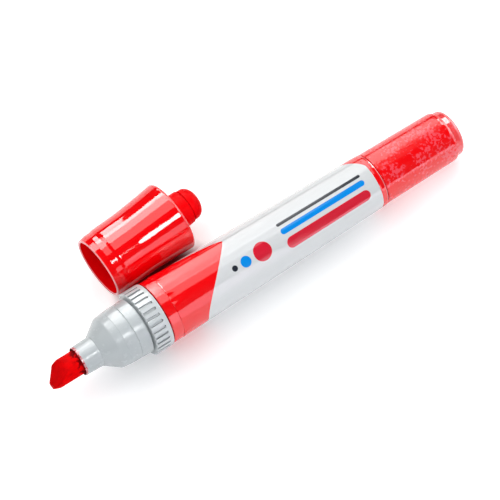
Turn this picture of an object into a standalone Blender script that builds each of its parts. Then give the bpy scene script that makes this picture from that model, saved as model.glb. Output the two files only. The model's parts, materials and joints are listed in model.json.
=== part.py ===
"""A chisel-nib permanent marker lying on a table, with its cap taken off and lying beside it.

Units are metres and +Z is up. Every turned piece is drawn in its own frame, where z runs along the
axis of the piece. In the marker's frame z = 0 is the front face of the knurled ring, +z points to
the nib and -z to the tail. In the cap's frame z = 0 is the rim and +z points to the closed end.
"""
import math

import bmesh
import bpy
from mathutils import Matrix, Vector

# Clearances
GAP = 0.0003                     # between neighbouring pieces
CAP_FIT = 0.00015                # cap mouth over the rear band of the nose
SEAL_FIT = 0.00010               # inner cap over the nozzle

# Knurled ring
RING_RADIUS = 0.0090
RING_HEIGHT = 0.00125            # how far the ring stands above the rear band
RING_LENGTH = 0.0051
RING_EDGE = 0.0002               # chamfer on both edges of the ring
NOTCH_COUNT = 40
NOTCH_LENGTH = 0.0040
NOTCH_WIDTH = 0.0008
NOTCH_DEPTH = 0.00035

# Nose in front of the ring, from the ring to the nozzle
REAR_BAND_LENGTH = 0.0038
REAR_BAND_DRAFT = 0.00012        # fall in radius along the band
STEP_GROOVE_WIDTH = 0.0003
STEP_GROOVE_DEPTH = 0.0002
MIDDLE_BAND_LENGTH = 0.00325
MIDDLE_BAND_DRAFT = 0.00020
FRONT_BAND_LENGTH = 0.0022
FRONT_BAND_DRAFT = 0.00020
BAND_LEDGE = 0.00006             # faint ledge between the middle and front bands
SHOULDER_ROUND = 0.0012
CONE_LENGTH = 0.00395
NOZZLE_STEP = 0.00015            # ledge where the nozzle stands on the cone
NOZZLE_LENGTH = 0.00525
NOZZLE_DRAFT = 0.0002            # rise in radius from the nozzle's rim to the cone
NOZZLE_WALL = 0.00035
SPIGOT_LENGTH = 0.0120           # part of the nose that goes into the barrel
SPIGOT_WALL = 0.0008
NIB_GUIDE_LENGTH = 0.0100        # close bore that holds the nib, measured from the nozzle rim
NOSE_FUNNEL_LENGTH = 0.0045      # from the close bore to the full cavity

# Chisel nib
NIB_RADIUS = 0.00335
NIB_REACH = 0.00925              # how far the nib stands out of the nozzle
NIB_TAIL_RADIUS = 0.0022
NIB_TAIL_LENGTH = 0.0080
NIB_TAIL_TAPER = 0.0012
CHISEL_EDGE = 0.0009             # thickness of the writing edge
CHISEL_LENGTH = 0.0040           # from the writing edge back to the crown of the rod
CHISEL_SLANT = 0.81              # fall of the writing edge per width
CHISEL_PEAK = 0.0009             # distance of the foremost point from the axis
CHISEL_LAND = 0.0017             # width of the blunt land beside the foremost point
CHISEL_LAND_FALL = 0.0004
CHISEL_CORNER_FALL = 0.00165     # height of the corner cut beside the land
CHISEL_HEEL = 0.00055            # width of the cut at the rear corner
CHISEL_HEEL_FALL = 0.0017
NIB_ROLL = math.radians(-24.7)   # turn of the nib about its axis
NIB_ROUND = 0.00022              # felt edges

# Barrel and printed film
COLLAR_INSET = 0.00019           # barrel front below the ring
BARREL_LENGTH = 0.0694
BARREL_TAPER = 0.00121           # fall in radius from front to rear
BARREL_COLLAR_LENGTH = 0.0029    # bare barrel in front of the film
BARREL_TAIL_LENGTH = 0.0016      # bare barrel behind the film
BARREL_WALL = 0.00085            # wall under the rear end of the film
BARREL_EDGE = 0.00015
FILM_THICKNESS = 0.0003

# Tail plug
TAIL_INSET = 0.00013             # tail plug below the barrel
TAIL_LENGTH = 0.0224             # straight part, from the seam to the shoulder
TAIL_TAPER = 0.00022
TAIL_EDGE = 0.00025
TAIL_SHOULDER_LENGTH = 0.0013
TAIL_SHOULDER_FALL = 0.00035
TAIL_STEP = 0.00015              # ledge between the shoulder and the end button
TAIL_BUTTON_LENGTH = 0.0027
TAIL_BUTTON_ROUND = 0.0022
TAIL_SPIGOT_LENGTH = 0.0125      # part of the tail plug that goes into the barrel
TAIL_WALL = 0.0012
TAIL_END_WALL = 0.0018

# Ink reservoir
WRAP_THICKNESS = 0.0003
RESERVOIR_REACH = 0.0030         # how far the fibre core reaches past the ring into the nose
WRAP_SETBACK = 0.0010            # how much shorter the wrap is at each end
FIBRE_EDGE = 0.0004

# Cap
CAP_WALL = 0.0007                # wall at the rim
CAP_LENGTH = 0.02455             # from the rim to the closed end
CAP_LIP_LENGTH = 0.0019          # slanting lip behind the rim
CAP_LIP_RISE = 0.00032
CAP_BAND_LENGTH = 0.0017         # straight band behind the lip
CAP_STEP_LENGTH = 0.0009         # slope from the band to the waist
CAP_STEP_RISE = 0.00015
CAP_WAIST_LENGTH = 0.0060        # straight stretch behind the step
CAP_FLARE = 0.0009               # rise in radius from the waist to the closed end
CAP_FLARE_POWER = 1.5            # how late the flare opens
CAP_END_WALL = 0.00115
CAP_END_ROUND = 0.0008
CAP_EDGE = 0.00025
CAP_DRAFT = 0.00015              # fall of the bore towards the closed end
KNOB_LENGTH = 0.00395
KNOB_WALL = 0.00045
KNOB_EDGE = 0.0003

# Inner cap
SEAL_WALL = 0.0008
NECK_WALL = 0.00045
SNAP_FLANGE_WIDTH = 0.0006
SNAP_FLANGE_LENGTH = 0.0009
BUTTON_LENGTH = 0.0037
BUTTON_OVERHANG = 0.00037        # button past the neck
BUTTON_EDGE = 0.0003
BUTTON_WALL = 0.00125             # solid end of the button

# Where the cap lies on the table
CAP_APART = 0.00213              # gap from the ring to the rim
CAP_ALONG = 0.0009               # rim behind the ring's front face
CAP_YAW = math.radians(2.8)

# Facets round each piece
NOSE_SIDES = 2 * NOTCH_COUNT
BODY_SIDES = 56
CAP_SIDES = 56
CORE_SIDES = 32
ROUND_STEPS = 4                  # facets in a rounding
FLARE_STEPS = 4                  # facets along the cap's flare

# Radii that follow from the sizes above, from the ring inwards and to the tail
REAR_BAND_RADIUS = RING_RADIUS - RING_HEIGHT
BARREL_RADIUS = RING_RADIUS - COLLAR_INSET
BARREL_END_RADIUS = BARREL_RADIUS - BARREL_TAPER
CAVITY_RADIUS = BARREL_END_RADIUS - FILM_THICKNESS - GAP - BARREL_WALL
SPIGOT_RADIUS = CAVITY_RADIUS + SPIGOT_WALL
TAIL_RADIUS = BARREL_END_RADIUS - TAIL_INSET
TAIL_REST_RADIUS = TAIL_RADIUS - TAIL_TAPER
NIB_BORE = NIB_RADIUS + GAP
NOZZLE_RADIUS = NIB_BORE + NOZZLE_WALL
NOZZLE_BASE_RADIUS = NOZZLE_RADIUS + NOZZLE_DRAFT
CAP_MOUTH_RADIUS = REAR_BAND_RADIUS + CAP_FIT
CAP_RIM_RADIUS = CAP_MOUTH_RADIUS + CAP_WALL
CAP_LIP_RADIUS = CAP_RIM_RADIUS + CAP_LIP_RISE
CAP_WAIST_RADIUS = CAP_LIP_RADIUS + CAP_STEP_RISE
CAP_END_RADIUS = CAP_WAIST_RADIUS + CAP_FLARE
NECK_RADIUS = NIB_BORE + NECK_WALL
KNOB_BORE = NECK_RADIUS + GAP
KNOB_RADIUS = KNOB_BORE + KNOB_WALL

# Places along the marker's axis that follow from the sizes above
STEP_Z = REAR_BAND_LENGTH
LEDGE_Z = STEP_Z + MIDDLE_BAND_LENGTH
SHOULDER_Z = LEDGE_Z + FRONT_BAND_LENGTH
CONE_Z = SHOULDER_Z + CONE_LENGTH
NOZZLE_Z = CONE_Z + NOZZLE_LENGTH
NIB_TIP_Z = NOZZLE_Z + NIB_REACH
BARREL_Z = -RING_LENGTH - GAP
SEAM_Z = BARREL_Z - BARREL_LENGTH
FILM_FRONT_Z = BARREL_Z - BARREL_COLLAR_LENGTH
FILM_REAR_Z = SEAM_Z + BARREL_TAIL_LENGTH
TAIL_Z = SEAM_Z - GAP
TAIL_REST_Z = TAIL_Z - TAIL_LENGTH
TAIL_STEP_Z = TAIL_REST_Z - TAIL_SHOULDER_LENGTH
TAIL_END_Z = TAIL_STEP_Z - TAIL_BUTTON_LENGTH
TAIL_SPIGOT_Z = TAIL_Z + TAIL_SPIGOT_LENGTH
SPIGOT_END_Z = -RING_LENGTH - SPIGOT_LENGTH
RESERVOIR_FRONT_Z = RESERVOIR_REACH
RESERVOIR_REAR_Z = TAIL_SPIGOT_Z + GAP
NIB_TAIL_Z = RESERVOIR_FRONT_Z + GAP
NIB_END_Z = NIB_TAIL_Z - NIB_TAIL_LENGTH

# Places along the cap's axis that follow from the sizes above
CAP_BAND_Z = CAP_LIP_LENGTH + CAP_BAND_LENGTH
CAP_STEP_Z = CAP_BAND_Z + CAP_STEP_LENGTH
CAP_WAIST_Z = CAP_STEP_Z + CAP_WAIST_LENGTH
CAP_SHOULDER_Z = CAP_LENGTH - CAP_END_ROUND
CAP_FLOOR_Z = CAP_LENGTH - CAP_END_WALL
KNOB_Z = CAP_LENGTH + KNOB_LENGTH
BUTTON_Z = KNOB_Z + GAP
FLANGE_Z = CAP_FLOOR_Z - GAP
SEAL_Z = CONE_Z + GAP            # mouth of the seal, just clear of the cone when the cap is on
SEAL_STOP_Z = NOZZLE_Z + GAP     # ledge just clear of the nozzle rim when the cap is on
BUTTON_END_Z = BUTTON_Z + BUTTON_LENGTH


def start_collections():
    """Empties the scene and returns the collections for the parts and for the cutters."""
    for obj in list(bpy.data.objects):
        bpy.data.objects.remove(obj, do_unlink=True)
    made = []
    for name in ("permanent_marker", "cutters"):
        collection = bpy.data.collections.new(name)
        bpy.context.scene.collection.children.link(collection)
        made.append(collection)
    return made


def material(name, colour, roughness):
    """A plain Principled material."""
    mat = bpy.data.materials.new(name)
    mat.use_nodes = True
    shader = mat.node_tree.nodes["Principled BSDF"]
    shader.inputs["Base Color"].default_value = (*colour, 1.0)
    shader.inputs["Roughness"].default_value = roughness
    return mat


def arc(radius, z, size_r, size_z, start, end):
    """Points of an elliptic arc round (radius, z), from one angle to another in degrees."""
    points = []
    for step in range(ROUND_STEPS + 1):
        angle = math.radians(start + (end - start) * step / ROUND_STEPS)
        points.append((radius + size_r * math.cos(angle), z + size_z * math.sin(angle)))
    return points


def turned(name, profile, sides, mat, axis, closed=False):
    """A turned piece. The (radius, z) profile runs down the outer side, and closed makes it a ring."""
    mesh = bpy.data.meshes.new(name + "_profile")
    edges = [(i, i + 1) for i in range(len(profile) - 1)]
    if closed:
        edges.append((len(profile) - 1, 0))
    mesh.from_pydata([(radius, 0.0, z) for radius, z in profile], edges, [])
    obj = bpy.data.objects.new(name, mesh)
    PARTS.objects.link(obj)
    screw = obj.modifiers.new("Screw", "SCREW")
    screw.axis = "Z"
    screw.steps = screw.render_steps = sides
    screw.use_merge_vertices = True
    screw.merge_threshold = 0.00001
    graph = bpy.context.evaluated_depsgraph_get()
    obj.data = bpy.data.meshes.new_from_object(obj.evaluated_get(graph))
    bpy.data.meshes.remove(mesh)
    obj.data.name = name
    obj.modifiers.clear()
    obj.data.shade_smooth()
    obj.data.set_sharp_from_angle(angle=math.radians(30))
    obj.data.materials.append(mat)
    obj.parent = axis
    return obj


def axis_empty(name, place, direction, roll_up):
    """An empty whose +Z lies along direction and whose +X lies as near to roll_up as it can."""
    z_axis = direction.normalized()
    x_axis = (roll_up - z_axis * roll_up.dot(z_axis)).normalized()
    y_axis = z_axis.cross(x_axis)
    empty = bpy.data.objects.new(name, None)
    empty.empty_display_size = RING_RADIUS
    empty.matrix_world = Matrix.Translation(place) @ Matrix((x_axis, y_axis, z_axis)).transposed().to_4x4()
    PARTS.objects.link(empty)
    return empty


def barrel_radius_at(z):
    """Radius of the tapering barrel, film included, at a place along the marker's axis."""
    return BARREL_RADIUS + BARREL_TAPER * (z - BARREL_Z) / BARREL_LENGTH


def marker_axis():
    """The marker lies on its ring and on the rear edge of its tail, so its axis slopes down to the tail."""
    ring_z = -RING_LENGTH + RING_EDGE
    slope = math.atan2(RING_RADIUS - TAIL_REST_RADIUS, ring_z - TAIL_REST_Z)
    height = RING_RADIUS * math.cos(slope) - ring_z * math.sin(slope)
    middle_x = (NIB_TIP_Z + TAIL_END_Z) / 2 * math.cos(slope)
    place = Vector((middle_x, -MIDDLE_Y, height))
    to_nib = Vector((-math.cos(slope), 0.0, math.sin(slope)))
    return axis_empty("marker_axis", place, to_nib, Vector((0, 0, 1)))


def cap_axis(marker):
    """The cap lies on its step and on its closed end, so its axis rises to the closed end."""
    slope = math.atan2(CAP_FLARE, CAP_SHOULDER_Z - CAP_STEP_Z)
    height = CAP_WAIST_RADIUS * math.cos(slope) - CAP_STEP_Z * math.sin(slope)
    place = Vector((marker.location.x + CAP_ALONG, CAP_Y - MIDDLE_Y, height))
    to_end = Vector((math.cos(CAP_YAW), math.sin(CAP_YAW), math.tan(slope)))
    return axis_empty("cap_axis", place, to_end, Vector((0, 0, -1)))


def nose_section(axis, mat):
    """Nozzle, cone, bands, knurled ring and spigot in one moulding, hollow from end to end."""
    step_radius = REAR_BAND_RADIUS - REAR_BAND_DRAFT
    ledge_radius = step_radius - MIDDLE_BAND_DRAFT
    shoulder_radius = ledge_radius - FRONT_BAND_DRAFT
    cone_radius = NOZZLE_BASE_RADIUS + NOZZLE_STEP
    cone_slope = math.atan2(shoulder_radius - cone_radius, CONE_LENGTH)
    round_z = SHOULDER_Z - SHOULDER_ROUND * math.tan(cone_slope / 2)
    rim_round = NOZZLE_WALL / 2
    outer = arc(NOZZLE_RADIUS - rim_round, NOZZLE_Z - rim_round, rim_round, rim_round, 90, 0)
    outer += [
        (NOZZLE_BASE_RADIUS, CONE_Z),
        (cone_radius, CONE_Z),
    ]
    outer += arc(shoulder_radius - SHOULDER_ROUND, round_z, SHOULDER_ROUND, SHOULDER_ROUND,
                 math.degrees(cone_slope), 0)
    outer += [
        (ledge_radius, LEDGE_Z),
        (ledge_radius + BAND_LEDGE, LEDGE_Z - BAND_LEDGE),
        (step_radius, STEP_Z + STEP_GROOVE_WIDTH / 2),
        (step_radius - STEP_GROOVE_DEPTH, STEP_Z),
        (step_radius, STEP_Z - STEP_GROOVE_WIDTH / 2),
        (REAR_BAND_RADIUS, 0.0),
        (RING_RADIUS - RING_EDGE, 0.0),
        (RING_RADIUS, -RING_EDGE),
        (RING_RADIUS, -RING_LENGTH + RING_EDGE),
        (RING_RADIUS - RING_EDGE, -RING_LENGTH),
        (SPIGOT_RADIUS, -RING_LENGTH),
        (SPIGOT_RADIUS, SPIGOT_END_Z),
    ]
    guide_z = NOZZLE_Z - NIB_GUIDE_LENGTH
    inner = [
        (CAVITY_RADIUS, SPIGOT_END_Z),
        (CAVITY_RADIUS, guide_z - NOSE_FUNNEL_LENGTH),
        (NIB_BORE, guide_z),
        (NIB_BORE, NOZZLE_Z),
    ]
    obj = turned("nose_section", outer + inner, NOSE_SIDES, mat, axis, closed=True)
    cut = obj.modifiers.new("Notches", "BOOLEAN")
    cut.operation = "DIFFERENCE"
    cut.object = notch_cutter(axis)
    return obj


def notch_cutter(axis):
    """Blocks that cut the notches of the ring, open to its front face."""
    bm = bmesh.new()
    overshoot = RING_EDGE
    length = NOTCH_LENGTH + overshoot
    depth = NOTCH_DEPTH + overshoot
    block = Matrix.Diagonal((depth, NOTCH_WIDTH, length, 1.0))
    seat = Vector((RING_RADIUS - NOTCH_DEPTH + depth / 2, 0.0, -NOTCH_LENGTH + length / 2))
    for index in range(NOTCH_COUNT):
        turn = Matrix.Rotation(2 * math.pi * (index + 0.5) / NOTCH_COUNT, 4, "Z")
        bmesh.ops.create_cube(bm, size=1.0, matrix=turn @ Matrix.Translation(seat) @ block)
    mesh = bpy.data.meshes.new("notch_cutter")
    bm.to_mesh(mesh)
    bm.free()
    obj = bpy.data.objects.new("notch_cutter", mesh)
    obj.parent = axis
    obj.hide_render = True
    obj.display_type = "WIRE"
    CUTTERS.objects.link(obj)
    return obj


def slice_off(bm, point, normal):
    """Cuts away what lies beyond the plane and closes the cut."""
    geometry = bm.verts[:] + bm.edges[:] + bm.faces[:]
    cut = bmesh.ops.bisect_plane(bm, geom=geometry, plane_co=point, plane_no=normal, clear_outer=True)
    rim = [item for item in cut["geom_cut"] if isinstance(item, bmesh.types.BMEdge)]
    bmesh.ops.edgeloop_fill(bm, edges=rim)


def nib(axis, mat):
    """A felt rod with a slanted chisel end. Its bevels face +X and -X, and its foremost point lies at -Y."""
    rod = [
        (0.0, NIB_TIP_Z),
        (NIB_RADIUS, NIB_TIP_Z),
        (NIB_RADIUS, NIB_TAIL_Z + NIB_TAIL_TAPER),
        (NIB_TAIL_RADIUS, NIB_TAIL_Z),
        (NIB_TAIL_RADIUS, NIB_END_Z + NIB_TAIL_TAPER),
        (NIB_TAIL_RADIUS / 2, NIB_END_Z),
        (0.0, NIB_END_Z),
    ]
    obj = turned("nib", rod, CORE_SIDES, mat, axis)
    obj.rotation_euler.z = NIB_ROLL
    bm = bmesh.new()
    bm.from_mesh(obj.data)
    peak = Vector((0.0, -CHISEL_PEAK, NIB_TIP_Z))
    land_end = peak + Vector((0.0, -CHISEL_LAND, -CHISEL_LAND_FALL))
    heel_reach = NIB_RADIUS - CHISEL_HEEL + CHISEL_PEAK
    heel = peak + Vector((0.0, heel_reach, -CHISEL_SLANT * heel_reach))
    slice_off(bm, peak, Vector((0.0, -CHISEL_LAND_FALL, CHISEL_LAND)))
    slice_off(bm, land_end, Vector((0.0, -CHISEL_CORNER_FALL, NIB_RADIUS + land_end.y)))
    slice_off(bm, peak, Vector((0.0, CHISEL_SLANT, 1.0)))
    slice_off(bm, heel, Vector((0.0, CHISEL_HEEL_FALL, CHISEL_HEEL)))
    for side in (1, -1):
        edge = peak + Vector((side * CHISEL_EDGE / 2, 0.0, 0.0))
        rise = NIB_RADIUS - CHISEL_EDGE / 2
        slice_off(bm, edge, Vector((side * CHISEL_LENGTH, CHISEL_SLANT * rise, rise)))
    bm.to_mesh(obj.data)
    bm.free()
    obj.data.shade_smooth()
    obj.data.set_sharp_from_angle(angle=math.radians(30))
    soften = obj.modifiers.new("Felt edges", "BEVEL")
    soften.width = NIB_ROUND
    soften.segments = 2
    soften.limit_method = "ANGLE"
    soften.angle_limit = math.radians(25)
    return obj


def barrel(axis, mat):
    """Tapering tube with a shallow seat for the film, a socket for the nose and a bore for the core."""
    seat_front_z = FILM_FRONT_Z
    seat_rear_z = FILM_REAR_Z
    seat_depth = FILM_THICKNESS + GAP
    socket_radius = SPIGOT_RADIUS + GAP
    socket_z = SPIGOT_END_Z - GAP
    profile = [
        (BARREL_RADIUS - BARREL_EDGE, BARREL_Z),
        (BARREL_RADIUS, BARREL_Z - BARREL_EDGE),
        (barrel_radius_at(seat_front_z), seat_front_z),
        (barrel_radius_at(seat_front_z) - seat_depth, seat_front_z),
        (barrel_radius_at(seat_rear_z) - seat_depth, seat_rear_z),
        (barrel_radius_at(seat_rear_z), seat_rear_z),
        (BARREL_END_RADIUS, SEAM_Z + BARREL_EDGE),
        (BARREL_END_RADIUS - BARREL_EDGE, SEAM_Z),
        (CAVITY_RADIUS, SEAM_Z),
        (CAVITY_RADIUS, socket_z),
        (socket_radius, socket_z),
        (socket_radius, BARREL_Z),
    ]
    return turned("barrel", profile, BODY_SIDES, mat, axis, closed=True)


def label_film(axis, mat):
    """Thin sleeve in the barrel's seat, flush with the bare barrel before and behind it."""
    front_z = FILM_FRONT_Z - GAP
    rear_z = FILM_REAR_Z + GAP
    profile = [
        (barrel_radius_at(front_z), front_z),
        (barrel_radius_at(rear_z), rear_z),
        (barrel_radius_at(rear_z) - FILM_THICKNESS, rear_z),
        (barrel_radius_at(front_z) - FILM_THICKNESS, front_z),
    ]
    return turned("label_film", profile, BODY_SIDES, mat, axis, closed=True)


def tail_plug(axis, mat):
    """Hollow plug with a spigot, a rounded shoulder and a stepped flat end."""
    spigot_radius = CAVITY_RADIUS - GAP
    hollow_radius = spigot_radius - TAIL_WALL
    shoulder_radius = TAIL_REST_RADIUS - TAIL_SHOULDER_FALL
    button_radius = shoulder_radius - TAIL_STEP
    profile = [
        (0.0, TAIL_END_Z + TAIL_END_WALL),
        (hollow_radius, TAIL_END_Z + TAIL_END_WALL),
        (hollow_radius, TAIL_SPIGOT_Z),
        (spigot_radius, TAIL_SPIGOT_Z),
        (spigot_radius, TAIL_Z),
        (TAIL_RADIUS - TAIL_EDGE, TAIL_Z),
        (TAIL_RADIUS, TAIL_Z - TAIL_EDGE),
    ]
    profile += arc(shoulder_radius, TAIL_REST_Z, TAIL_SHOULDER_FALL, TAIL_SHOULDER_LENGTH, 0, -90)
    profile.append((button_radius, TAIL_STEP_Z))
    profile += arc(button_radius - TAIL_BUTTON_ROUND, TAIL_END_Z + TAIL_BUTTON_ROUND,
                   TAIL_BUTTON_ROUND, TAIL_BUTTON_ROUND, 0, -90)
    profile.append((0.0, TAIL_END_Z))
    return turned("tail_plug", profile, BODY_SIDES, mat, axis)


def ink_reservoir(axis, mat):
    """Fibre core with a socket for the tail of the nib."""
    core_radius = CAVITY_RADIUS - 2 * GAP - WRAP_THICKNESS
    socket_radius = NIB_TAIL_RADIUS + GAP
    socket_end_z = NIB_END_Z - GAP
    profile = [
        (0.0, socket_end_z),
        (socket_radius, socket_end_z),
        (socket_radius, RESERVOIR_FRONT_Z),
        (core_radius - FIBRE_EDGE, RESERVOIR_FRONT_Z),
        (core_radius, RESERVOIR_FRONT_Z - FIBRE_EDGE),
        (core_radius, RESERVOIR_REAR_Z + FIBRE_EDGE),
        (core_radius - FIBRE_EDGE, RESERVOIR_REAR_Z),
        (0.0, RESERVOIR_REAR_Z),
    ]
    return turned("ink_reservoir", profile, CORE_SIDES, mat, axis)


def reservoir_wrap(axis, mat):
    """Film sleeve round the fibre core, open at both ends."""
    outer_radius = CAVITY_RADIUS - GAP
    front_z = RESERVOIR_FRONT_Z - WRAP_SETBACK
    rear_z = RESERVOIR_REAR_Z + WRAP_SETBACK
    profile = [
        (outer_radius, front_z),
        (outer_radius, rear_z),
        (outer_radius - WRAP_THICKNESS, rear_z),
        (outer_radius - WRAP_THICKNESS, front_z),
    ]
    return turned("reservoir_wrap", profile, CORE_SIDES, mat, axis, closed=True)


def cap_flare():
    """Points of the cap's outline from just below its closed end down to the waist."""
    points = []
    for step in reversed(range(FLARE_STEPS)):
        share = step / FLARE_STEPS
        radius = CAP_WAIST_RADIUS + CAP_FLARE * share ** CAP_FLARE_POWER
        points.append((radius, CAP_WAIST_Z + (CAP_SHOULDER_Z - CAP_WAIST_Z) * share))
    return points


def cap_shell(axis, mat):
    """Flared cup with a stepped lip and a hollow knob on its closed end."""
    bore_end_radius = CAP_MOUTH_RADIUS - CAP_DRAFT
    outer = [
        (KNOB_RADIUS - KNOB_EDGE, KNOB_Z),
        (KNOB_RADIUS, KNOB_Z - KNOB_EDGE),
        (KNOB_RADIUS, CAP_LENGTH + CAP_EDGE),
        (KNOB_RADIUS + CAP_EDGE, CAP_LENGTH),
    ]
    outer += arc(CAP_END_RADIUS - CAP_END_ROUND, CAP_SHOULDER_Z, CAP_END_ROUND, CAP_END_ROUND, 90, 0)
    outer += cap_flare()
    outer += [
        (CAP_WAIST_RADIUS, CAP_STEP_Z),
        (CAP_LIP_RADIUS, CAP_BAND_Z),
        (CAP_LIP_RADIUS, CAP_LIP_LENGTH),
        (CAP_RIM_RADIUS, CAP_EDGE),
        (CAP_RIM_RADIUS - CAP_EDGE, 0.0),
    ]
    inner = [
        (CAP_MOUTH_RADIUS, 0.0),
        (bore_end_radius, CAP_FLOOR_Z),
        (KNOB_BORE, CAP_FLOOR_Z),
        (KNOB_BORE, KNOB_Z),
    ]
    return turned("cap_shell", outer + inner, CAP_SIDES, mat, axis, closed=True)


def inner_cap(axis, mat):
    """Liner that closes round the nozzle, snapped through the knob, with a domed button outside."""
    seal_bore = NOZZLE_RADIUS + SEAL_FIT
    seal_mouth = NOZZLE_BASE_RADIUS + SEAL_FIT
    seal_radius = seal_mouth + SEAL_WALL
    flange_radius = seal_radius + SNAP_FLANGE_WIDTH
    button_radius = NECK_RADIUS + BUTTON_OVERHANG
    dome_height = BUTTON_LENGTH - 2 * BUTTON_EDGE
    profile = arc(0.0, BUTTON_END_Z - dome_height, button_radius, dome_height, 90, 0)
    profile += [
        (button_radius, BUTTON_Z + BUTTON_EDGE),
        (NECK_RADIUS, BUTTON_Z),
        (NECK_RADIUS, FLANGE_Z),
        (flange_radius, FLANGE_Z),
        (flange_radius, FLANGE_Z - SNAP_FLANGE_LENGTH),
        (seal_radius, FLANGE_Z - SNAP_FLANGE_LENGTH),
        (seal_radius, SEAL_Z),
        (seal_mouth, SEAL_Z),
        (seal_bore, SEAL_STOP_Z),
        (NIB_BORE, SEAL_STOP_Z),
        (NIB_BORE, BUTTON_END_Z - BUTTON_WALL),
        (0.0, BUTTON_END_Z - BUTTON_WALL),
    ]
    return turned("inner_cap", profile, CORE_SIDES, mat, axis)


PARTS, CUTTERS = start_collections()
CAP_Y = RING_RADIUS + CAP_APART + CAP_RIM_RADIUS
MIDDLE_Y = (CAP_Y + CAP_LENGTH * math.sin(CAP_YAW) + CAP_END_RADIUS - RING_RADIUS) / 2

MARKER = marker_axis()
CAP = cap_axis(MARKER)
RED_GLOSS = (0.78, 0.008, 0.012)

nose_section(MARKER, material("nose_plastic", (0.58, 0.62, 0.65), 0.35))
nib(MARKER, material("inked_felt", (0.60, 0.004, 0.004), 0.85))
barrel(MARKER, material("barrel_plastic", RED_GLOSS, 0.25))
label_film(MARKER, material("printed_film", (0.80, 0.81, 0.82), 0.30))
tail_plug(MARKER, material("tail_plastic", RED_GLOSS, 0.45))
ink_reservoir(MARKER, material("inked_fibre", (0.50, 0.005, 0.006), 0.90))
reservoir_wrap(MARKER, material("wrap_film", (0.85, 0.85, 0.85), 0.30))
cap_shell(CAP, material("cap_plastic", RED_GLOSS, 0.12))
inner_cap(CAP, material("liner_plastic", RED_GLOSS, 0.25))
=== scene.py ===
"""Looks of a chisel-nib permanent marker lying beside its cap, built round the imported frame.

Units are metres. Every turned piece is drawn in its own frame, where z runs along its axis. In the
marker's frame z = 0 is the front face of the knurled ring, +z points to the nib, x points up and y to
the cap. In the cap's frame z = 0 is the rim and +z points to the closed end.
"""
import json
import math

import bmesh
import bpy
import numpy as np
from mathutils import Matrix, Vector


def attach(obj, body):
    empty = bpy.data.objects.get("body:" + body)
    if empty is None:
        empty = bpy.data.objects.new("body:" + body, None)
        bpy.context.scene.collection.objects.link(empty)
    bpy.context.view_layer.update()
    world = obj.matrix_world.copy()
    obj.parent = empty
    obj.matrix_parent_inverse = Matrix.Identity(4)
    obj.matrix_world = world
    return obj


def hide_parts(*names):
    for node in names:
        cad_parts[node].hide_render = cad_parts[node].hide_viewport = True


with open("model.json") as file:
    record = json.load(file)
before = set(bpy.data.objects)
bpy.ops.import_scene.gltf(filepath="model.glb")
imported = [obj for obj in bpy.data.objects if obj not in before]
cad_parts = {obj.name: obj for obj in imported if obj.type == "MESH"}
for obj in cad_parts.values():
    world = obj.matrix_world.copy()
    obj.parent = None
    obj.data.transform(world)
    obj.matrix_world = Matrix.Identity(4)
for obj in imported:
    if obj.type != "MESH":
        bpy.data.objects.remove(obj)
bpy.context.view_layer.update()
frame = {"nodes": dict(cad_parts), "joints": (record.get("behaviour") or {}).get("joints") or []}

# Knurled ring
RING_RADIUS = 0.0090
RING_LENGTH = 0.0051
RING_EDGE = 0.0002
NOTCH_COUNT = 31
NOTCH_PHASE = math.radians(1.4)
NOTCH_LENGTH = 0.0040
NOTCH_WIDTH = 0.0008
NOTCH_DEPTH = 0.0005
NOTCH_FLOOR = RING_RADIUS - NOTCH_DEPTH
NOTCH_SLOPE = 0.00010            # width of a notch's side wall, seen from outside
NOTCH_END_ROWS = 9               # rows of points round a notch's closed end

# Nose
REAR_BAND_RADIUS = 0.00775
STEP_RADIUS = 0.00763
LEDGE_RADIUS = 0.00743
SHOULDER_RADIUS = 0.00723
CONE_RADIUS = 0.00435
NOZZLE_BASE_RADIUS = 0.0042
NOZZLE_RADIUS = 0.0040
NIB_BORE = 0.00365
MOUTH_RADIUS = 0.00385           # the bore opens out to this at the rim
MOUTH_DEPTH = 0.0008
SPIGOT_RADIUS = 0.00695
CAVITY_RADIUS = 0.00615
BAND_LEDGE = 0.00006
GROOVE_WIDTH = 0.0003
GROOVE_DEPTH = 0.0002
GAP_WIDTH = 0.0005               # shadow gap in front of the ring
GAP_DEPTH = 0.0012
SHOULDER_ROUND = 0.0012
SPIGOT_EDGE = 0.0002
RIM_STAIN = 0.00045              # depth of the dried ink on the nozzle's rim
RIM_STAIN_RADIUS = 0.0047        # it lies inside this radius
STEP_Z = 0.0038
LEDGE_Z = 0.00705
SHOULDER_Z = 0.00925
CONE_Z = 0.0132
NOZZLE_Z = 0.01845
GUIDE_Z = 0.00845                # inner end of the close bore
FUNNEL_Z = 0.00395               # start of the full cavity
SPIGOT_END_Z = -0.0171

# Chisel nib
NIB_RADIUS = 0.00335
NIB_TIP_Z = 0.0277
NIB_TAIL_Z = 0.0033
NIB_END_Z = -0.0047
NIB_TAIL_RADIUS = 0.0022
NIB_TAIL_TAPER = 0.0012
CHISEL_EDGE = 0.0009
CHISEL_LENGTH = 0.0040
CHISEL_SLANT = 0.81
CHISEL_PEAK = 0.0009
CHISEL_LAND = 0.0017
CHISEL_LAND_FALL = 0.0004
CHISEL_CORNER_FALL = 0.00165
CHISEL_HEEL = 0.00055
CHISEL_HEEL_FALL = 0.0017
NIB_ROLL = math.radians(-24.7)
NIB_ROUND = 0.00030
FELT_GRAIN = 0.00014             # size of the felt's mesh cells
FELT_ROUGH = 0.00004             # height of the felt's unevenness
FELT_FUZZ = 0.0007               # size of the felt's unevenness
DARK_REACH = 0.0005               # length of the nib in front of the nozzle that is darkened
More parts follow.
